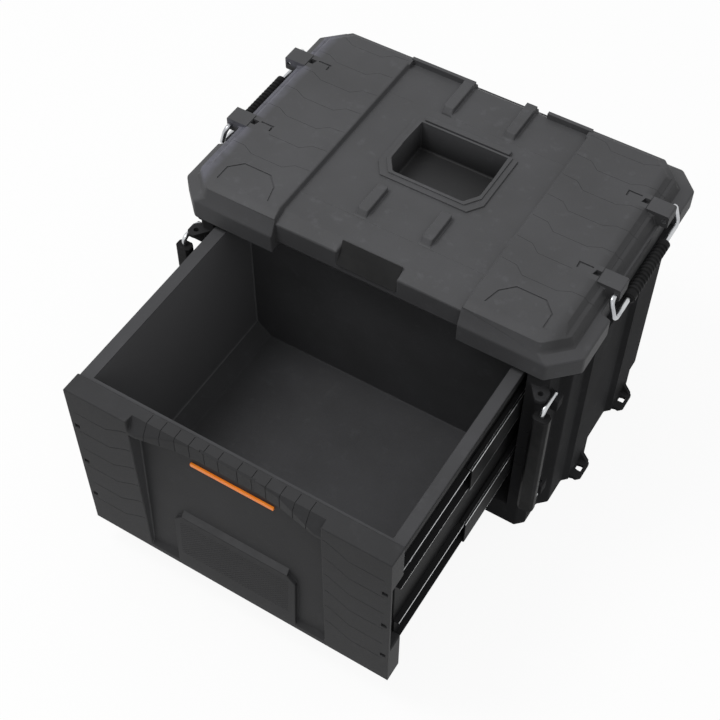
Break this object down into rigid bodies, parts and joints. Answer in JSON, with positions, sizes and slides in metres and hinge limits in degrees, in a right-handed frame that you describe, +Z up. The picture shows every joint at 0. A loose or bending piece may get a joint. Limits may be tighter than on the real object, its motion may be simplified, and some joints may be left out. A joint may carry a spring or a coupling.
{
  "type": "tool box with drawer",
  "caption": "Moulded jobsite tool box with one deep sliding drawer, recessed cover tray, side carry handles and corner wire bails.",
  "frame": {"origin": "on the floor, under the middle of the case", "axes": "+X to the right seen from the drawer, +Y to the rear, +Z up"},
  "size_m": [0.5838, 0.6765, 0.3975],
  "materials": {
    "shell_plastic": "fine-grained moulded charcoal plastic",
    "bin_plastic": "smooth moulded dark plastic",
    "badge_black": "bare glossy plate",
    "accent_orange": "bright orange trim",
    "zinc_steel": "bright zinc",
    "rail_steel": "black coated with bright worn edges",
    "grip_rubber": "matte black"
  },
  "bodies": {
    "case": {"case_shell": "shell_plastic", "top_cover": "shell_plastic", "badge_plate": "badge_black", "left_upper_case_rail": "rail_steel", "left_lower_case_rail": "rail_steel", "right_upper_case_rail": "rail_steel", "right_lower_case_rail": "rail_steel", "case_rail_screws": "zinc_steel", "cover_screws": "zinc_steel"},
    "drawer": {"drawer_front": "shell_plastic", "accent_strip": "accent_orange", "drawer_bin": "bin_plastic", "left_upper_drawer_rail": "rail_steel", "left_lower_drawer_rail": "rail_steel", "right_upper_drawer_rail": "rail_steel", "right_lower_drawer_rail": "rail_steel", "drawer_rail_screws": "zinc_steel"},
    "left_slide": {"left_upper_mid_rail": "rail_steel", "left_lower_mid_rail": "rail_steel"},
    "right_slide": {"right_upper_mid_rail": "rail_steel", "right_lower_mid_rail": "rail_steel"},
    "left_bail": {"left_corner_bail": "zinc_steel", "left_corner_grip": "shell_plastic"},
    "right_bail": {"right_corner_bail": "zinc_steel", "right_corner_grip": "shell_plastic"},
    "left_handle": {"left_handle_bail": "zinc_steel", "left_handle_grip": "grip_rubber"},
    "right_handle": {"right_handle_bail": "zinc_steel", "right_handle_grip": "grip_rubber"}
  },
  "joints": [
    {"name": "drawer_slide", "type": "slide", "parent": "case", "child": "drawer", "axis": [0, 1, 0], "range_m": [0, 0.3]},
    {"name": "left_slide_run", "type": "slide", "parent": "case", "child": "left_slide", "axis": [0, 1, 0], "range_m": [0, 0.15]},
    {"name": "right_slide_run", "type": "slide", "parent": "case", "child": "right_slide", "axis": [0, 1, 0], "range_m": [0, 0.15]},
    {"name": "left_bail_swing", "type": "hinge", "parent": "case", "child": "left_bail", "pos_m": [-0.26, -0.169, 0.1945], "axis": [0, 0, -1], "range_deg": [-30, 100]},
    {"name": "right_bail_swing", "type": "hinge", "parent": "case", "child": "right_bail", "pos_m": [0.26, -0.169, 0.1945], "axis": [0, 0, 1], "range_deg": [-30, 100]},
    {"name": "left_handle_lift", "type": "hinge", "parent": "case", "child": "left_handle", "pos_m": [-0.275, 0.016, 0.388], "axis": [0, 1, 0], "range_deg": [0, 110]},
    {"name": "right_handle_lift", "type": "hinge", "parent": "case", "child": "right_handle", "pos_m": [0.275, 0.016, 0.388], "axis": [0, -1, 0], "range_deg": [0, 110]}
  ],
  "couplings": [
    {"joint": "left_slide_run", "follows": "drawer_slide", "ratio": 0.5},
    {"joint": "right_slide_run", "follows": "drawer_slide", "ratio": 0.5}
  ]
}
